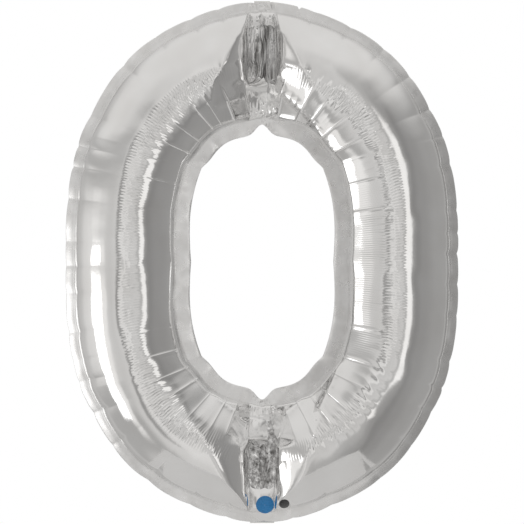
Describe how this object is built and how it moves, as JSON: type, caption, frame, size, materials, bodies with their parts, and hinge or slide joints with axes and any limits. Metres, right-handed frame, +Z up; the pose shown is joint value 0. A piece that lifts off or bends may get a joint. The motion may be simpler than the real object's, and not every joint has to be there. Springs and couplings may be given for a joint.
{
  "type": "foil number balloon",
  "caption": "Inflated silver foil balloon in the shape of a zero, with welded seams and ties, a self-sealing valve, a filling tail that folds away and a hang tab that folds up.",
  "frame": {"origin": "on the floor line under the middle of the lowest edge, in the plane of the seams", "axes": "+Z up the figure, -Y out of its front face, +X to the right seen from the front"},
  "size_m": [0.6478, 0.158, 0.864],
  "materials": {
    "foil": "mirror-bright metallised film, tight and crinkled along its seams",
    "foil_seam": "heat-sealed film margin, bright with fine puckers",
    "valve_film": "clear polyethylene film",
    "print_ink": "plain printed dot on the film"
  },
  "bodies": {
    "envelope": {"front_panel": "foil", "rear_panel": "foil", "outer_seal": "foil_seam", "inner_seal": "foil_seam", "upper_tie_weld": "foil_seam", "lower_tie_weld": "foil_seam", "valve_front_film": "valve_film"},
    "valve_leaf": {"valve_rear_film": "valve_film"},
    "tail": {"tail_front_film": "foil", "tail_rear_film": "foil"},
    "tab": {"hang_tab": "foil"}
  },
  "joints": [
    {"name": "valve_open", "type": "hinge", "parent": "envelope", "child": "valve_leaf", "pos_m": [0, 0.0007, 0.0174], "axis": [-1, 0, 0], "range_deg": [0, 8], "stiffness_Nm_per_rad": 0.0005},
    {"name": "tail_crease", "type": "hinge", "parent": "envelope", "child": "tail", "pos_m": [0, 0, -0.0005], "axis": [-1, 0, 0], "range_deg": [0, 120]},
    {"name": "tab_crease", "type": "hinge", "parent": "envelope", "child": "tab", "pos_m": [0, 0, 0.8645], "axis": [1, 0, 0], "range_deg": [0, 120]}
  ]
}
